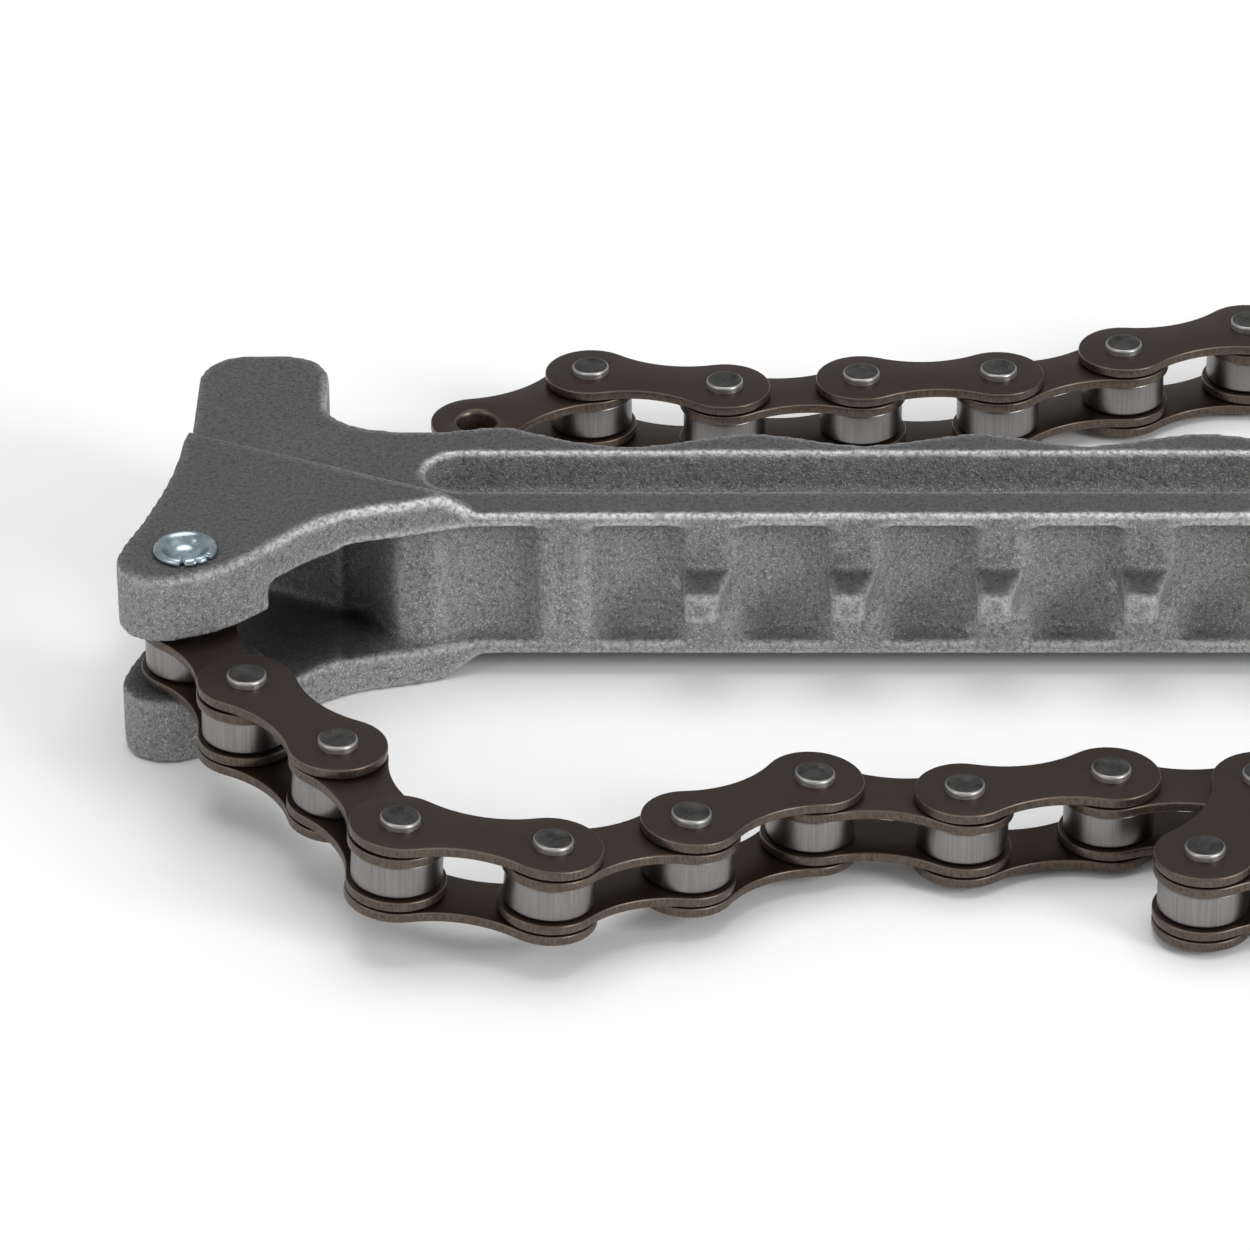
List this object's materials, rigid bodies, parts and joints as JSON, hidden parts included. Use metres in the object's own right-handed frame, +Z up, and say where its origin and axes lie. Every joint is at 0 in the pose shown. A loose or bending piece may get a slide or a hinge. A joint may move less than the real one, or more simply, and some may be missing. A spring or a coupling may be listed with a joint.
{
  "type": "chain oil filter wrench",
  "caption": "Hand wrench with a cast, toothed handle and a roller chain that wraps round an oil filter and hooks back on the teeth.",
  "frame": {"origin": "on the head's flat underside, where the plane through the rivet's axis meets the plane of the handle's near edge", "axes": "+X along the handle from the head to the hanging hole, +Y across it towards the finger grips, +Z up"},
  "size_m": [0.1594, 0.1027, 0.019],
  "materials": {
    "cast_grey": "blasted grey casting with fine grain, lighter worn edges",
    "zinc_plate": "bright bluish zinc plating",
    "brown_plate": "dark brown chain plate, tan where the edges are worn",
    "pin_steel": "grey steel with a bright bevelled rim",
    "roller_steel": "satin steel with fine lines"
  },
  "bodies": {
    "handle": {"handle_casting": "cast_grey", "ear_rivet": "zinc_plate"},
    "link_01": {"link_01_inner_plates": "brown_plate", "link_01_rollers": "roller_steel"},
    "link_02": {"link_02_outer_plates": "brown_plate", "link_02_pins": "pin_steel"},
    "link_03": {"link_03_inner_plates": "brown_plate", "link_03_rollers": "roller_steel"},
    "link_04": {"link_04_outer_plates": "brown_plate", "link_04_pins": "pin_steel"},
    "link_05": {"link_05_inner_plates": "brown_plate", "link_05_rollers": "roller_steel"},
    "link_06": {"link_06_outer_plates": "brown_plate", "link_06_pins": "pin_steel"},
    "link_07": {"link_07_inner_plates": "brown_plate", "link_07_rollers": "roller_steel"},
    "link_08": {"link_08_outer_plates": "brown_plate", "link_08_pins": "pin_steel"},
    "link_09": {"link_09_inner_plates": "brown_plate", "link_09_rollers": "roller_steel"},
    "link_10": {"link_10_outer_plates": "brown_plate", "link_10_pins": "pin_steel"},
    "link_11": {"link_11_inner_plates": "brown_plate", "link_11_rollers": "roller_steel"},
    "link_12": {"link_12_outer_plates": "brown_plate", "link_12_pins": "pin_steel"},
    "link_13": {"link_13_inner_plates": "brown_plate", "link_13_rollers": "roller_steel"},
    "link_14": {"link_14_outer_plates": "brown_plate", "link_14_pins": "pin_steel"},
    "link_15": {"link_15_inner_plates": "brown_plate", "link_15_rollers": "roller_steel"},
    "link_16": {"link_16_outer_plates": "brown_plate", "link_16_pins": "pin_steel"},
    "link_17": {"link_17_inner_plates": "brown_plate", "link_17_rollers": "roller_steel"},
    "link_18": {"link_18_outer_plates": "brown_plate", "link_18_pins": "pin_steel"},
    "link_19": {"link_19_inner_plates": "brown_plate", "link_19_rollers": "roller_steel"},
    "link_20": {"link_20_outer_plates": "brown_plate", "link_20_pins": "pin_steel"},
    "link_21": {"link_21_inner_plates": "brown_plate", "link_21_rollers": "roller_steel"},
    "link_22": {"link_22_outer_plates": "brown_plate", "link_22_pins": "pin_steel"},
    "link_23": {"link_23_inner_plates": "brown_plate", "link_23_rollers": "roller_steel"},
    "link_24": {"link_24_outer_plates": "brown_plate", "link_24_pins": "pin_steel"},
    "link_25": {"link_25_inner_plates": "brown_plate", "link_25_rollers": "roller_steel"},
    "link_26": {"link_26_outer_plates": "brown_plate", "link_26_pins": "pin_steel"},
    "link_27": {"link_27_inner_plates": "brown_plate", "link_27_rollers": "roller_steel"},
    "link_28": {"link_28_outer_plates": "brown_plate", "link_28_pins": "pin_steel"},
    "link_29": {"link_29_inner_plates": "brown_plate", "link_29_rollers": "roller_steel"}
  },
  "joints": [
    {"name": "ear_hinge", "type": "hinge", "parent": "handle", "child": "link_01", "pos_m": [0, -0.0098, 0.009], "axis": [0, 0, 1], "range_deg": [-12, 9]},
    {"name": "pin_01_hinge", "type": "hinge", "parent": "link_01", "child": "link_02", "pos_m": [0.00557, -0.02121, 0.00893], "axis": [-0.0394, 0, -0.9992], "range_deg": [-9, 13]},
    {"name": "pin_02_hinge", "type": "hinge", "parent": "link_02", "child": "link_03", "pos_m": [0.01372, -0.03094, 0.00861], "axis": [0.0394, 0, 0.9992], "range_deg": [-15, 8]},
    {"name": "pin_03_hinge", "type": "hinge", "parent": "link_03", "child": "link_04", "pos_m": [0.01918, -0.04241, 0.00825], "axis": [-0.0919, 0, -0.9958], "range_deg": [-8, 17]},
    {"name": "pin_04_hinge", "type": "hinge", "parent": "link_04", "child": "link_05", "pos_m": [0.03172, -0.04406, 0.00709], "axis": [0.0919, 0, 0.9958], "range_deg": [-20, 8]},
    {"name": "pin_05_hinge", "type": "hinge", "parent": "link_05", "child": "link_06", "pos_m": [0.04299, -0.0383, 0.00605], "axis": [-0.0788, 0, -0.9969], "range_deg": [-8, 24]},
    {"name": "pin_06_hinge", "type": "hinge", "parent": "link_06", "child": "link_07", "pos_m": [0.05323, -0.03083, 0.00524], "axis": [0.0788, 0, 0.9969], "range_deg": [-28, 8]},
    {"name": "pin_07_hinge", "type": "hinge", "parent": "link_07", "child": "link_08", "pos_m": [0.06589, -0.03161, 0.00457], "axis": [-0.0263, 0, -0.9997], "range_deg": [-7, 35]},
    {"name": "pin_08_hinge", "type": "hinge", "parent": "link_08", "child": "link_09", "pos_m": [0.07821, -0.02854, 0.00425], "axis": [0.0263, 0, 0.9997], "range_deg": [-38, 7]},
    {"name": "pin_09_hinge", "type": "hinge", "parent": "link_09", "child": "link_10", "pos_m": [0.09089, -0.0292, 0.00425], "axis": [0, 0, -1], "range_deg": [-7, 15]},
    {"name": "pin_10_hinge", "type": "hinge", "parent": "link_10", "child": "link_11", "pos_m": [0.08542, -0.04066, 0.00425], "axis": [0, 0, 1], "range_deg": [-60, 6]},
    {"name": "pin_11_hinge", "type": "hinge", "parent": "link_11", "child": "link_12", "pos_m": [0.0981, -0.03989, 0.00425], "axis": [0, 0, -1], "range_deg": [-6, 60]},
    {"name": "pin_12_hinge", "type": "hinge", "parent": "link_12", "child": "link_13", "pos_m": [0.11039, -0.03671, 0.00425], "axis": [0, 0, 1], "range_deg": [-60, 6]},
    {"name": "pin_13_hinge", "type": "hinge", "parent": "link_13", "child": "link_14", "pos_m": [0.12199, -0.03154, 0.00425], "axis": [0, 0, -1], "range_deg": [-7, 60]},
    {"name": "pin_14_hinge", "type": "hinge", "parent": "link_14", "child": "link_15", "pos_m": [0.13252, -0.02444, 0.00425], "axis": [0, 0, 1], "range_deg": [-60, 7]},
    {"name": "pin_15_hinge", "type": "hinge", "parent": "link_15", "child": "link_16", "pos_m": [0.14142, -0.01538, 0.00425], "axis": [0, 0, -1], "range_deg": [-6, 60]},
    {"name": "pin_16_hinge", "type": "hinge", "parent": "link_16", "child": "link_17", "pos_m": [0.14758, -0.00428, 0.00425], "axis": [0, 0, 1], "range_deg": [-60, 6]},
    {"name": "pin_17_hinge", "type": "hinge", "parent": "link_17", "child": "link_18", "pos_m": [0.14935, 0.0083, 0.00425], "axis": [0, 0, -1], "range_deg": [-6, 60]},
    {"name": "pin_18_hinge", "type": "hinge", "parent": "link_18", "child": "link_19", "pos_m": [0.14638, 0.02065, 0.00425], "axis": [0, 0, 1], "range_deg": [-60, 6]},
    {"name": "pin_19_hinge", "type": "hinge", "parent": "link_19", "child": "link_20", "pos_m": [0.13994, 0.03159, 0.00425], "axis": [0, 0, -1], "range_deg": [-6, 60]},
    {"name": "pin_20_hinge", "type": "hinge", "parent": "link_20", "child": "link_21", "pos_m": [0.13088, 0.04049, 0.00425], "axis": [0, 0, 1], "range_deg": [-60, 7]},
    {"name": "pin_21_hinge", "type": "hinge", "parent": "link_21", "child": "link_22", "pos_m": [0.11988, 0.04684, 0.00425], "axis": [0, 0, -1], "range_deg": [-7, 60]},
    {"name": "pin_22_hinge", "type": "hinge", "parent": "link_22", "child": "link_23", "pos_m": [0.10764, 0.05024, 0.00425], "axis": [0, 0, 1], "range_deg": [-60, 9]},
    {"name": "pin_23_hinge", "type": "hinge", "parent": "link_23", "child": "link_24", "pos_m": [0.09494, 0.05013, 0.00425], "axis": [0, 0, -1], "range_deg": [-11, 60]},
    {"name": "pin_24_hinge", "type": "hinge", "parent": "link_24", "child": "link_25", "pos_m": [0.08305, 0.04568, 0.00425], "axis": [0, 0, 1], "range_deg": [-60, 13]},
    {"name": "pin_25_hinge", "type": "hinge", "parent": "link_25", "child": "link_26", "pos_m": [0.07127, 0.04092, 0.00425], "axis": [0, 0, -1], "range_deg": [-16, 60]},
    {"name": "pin_26_hinge", "type": "hinge", "parent": "link_26", "child": "link_27", "pos_m": [0.0586, 0.04015, 0.00425], "axis": [0, 0, 1], "range_deg": [-60, 23]},
    {"name": "pin_27_hinge", "type": "hinge", "parent": "link_27", "child": "link_28", "pos_m": [0.04599, 0.0386, 0.00425], "axis": [0, 0, -1], "range_deg": [-28, 60]},
    {"name": "pin_28_hinge", "type": "hinge", "parent": "link_28", "child": "link_29", "pos_m": [0.03359, 0.04135, 0.00425], "axis": [0, 0, 1], "range_deg": [-60, 44]}
  ]
}
